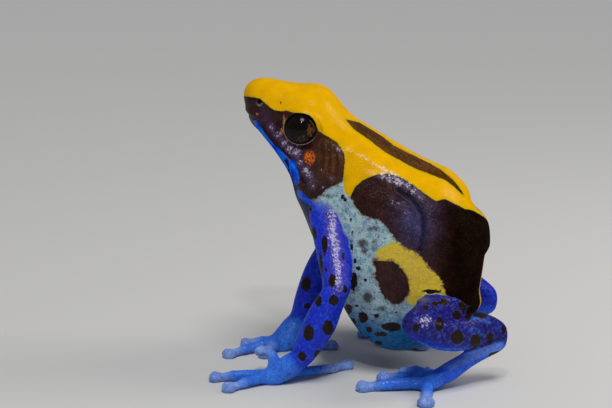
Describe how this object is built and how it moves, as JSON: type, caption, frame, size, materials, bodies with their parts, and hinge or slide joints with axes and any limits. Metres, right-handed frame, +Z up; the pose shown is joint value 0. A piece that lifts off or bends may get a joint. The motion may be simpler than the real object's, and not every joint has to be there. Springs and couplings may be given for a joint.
{
  "type": "blue poison dart frog",
  "caption": "Life-size still frog sitting up on folded hind legs, front legs straight, with lids, lips, eardrums and discs on every digit.",
  "frame": {"origin": "middle of the footprint of the whole frog, on the floor", "axes": "+Z up, the frog faces -X, its left side is -Y"},
  "size_m": [0.042, 0.0414, 0.0417],
  "materials": {
    "yellow_skin": "moist skin, yellow",
    "flank_skin": "moist skin, black-brown with yellow and grey-blue",
    "throat_skin": "moist skin, blue",
    "blue_skin": "moist skin, deep blue with dark spots",
    "pale_blue_skin": "moist skin, light blue",
    "eye": "wet and glossy",
    "eardrum": "thin skin, orange-brown"
  },
  "bodies": {
    "root": {"head": "yellow_skin", "lower_jaw": "throat_skin", "torso": "flank_skin", "eye_left": "eye", "eye_right": "eye", "eardrum_left": "eardrum", "eardrum_right": "eardrum", "upper_arm_left": "blue_skin", "forearm_left": "blue_skin", "hand_left": "pale_blue_skin", "finger_left_1": "pale_blue_skin", "finger_left_2": "pale_blue_skin", "finger_left_3": "pale_blue_skin", "finger_left_4": "pale_blue_skin", "upper_arm_right": "blue_skin", "forearm_right": "blue_skin", "hand_right": "pale_blue_skin", "finger_right_1": "pale_blue_skin", "finger_right_2": "pale_blue_skin", "finger_right_3": "pale_blue_skin", "finger_right_4": "pale_blue_skin", "thigh_left": "blue_skin", "shank_left": "blue_skin", "tarsus_left": "pale_blue_skin", "foot_left": "pale_blue_skin", "toe_left_1": "pale_blue_skin", "toe_left_2": "pale_blue_skin", "toe_left_3": "pale_blue_skin", "toe_left_4": "pale_blue_skin", "toe_left_5": "pale_blue_skin", "thigh_right": "blue_skin", "shank_right": "blue_skin", "tarsus_right": "pale_blue_skin", "foot_right": "pale_blue_skin", "toe_right_1": "pale_blue_skin", "toe_right_2": "pale_blue_skin", "toe_right_3": "pale_blue_skin", "toe_right_4": "pale_blue_skin", "toe_right_5": "pale_blue_skin"}
  },
  "joints": []
}
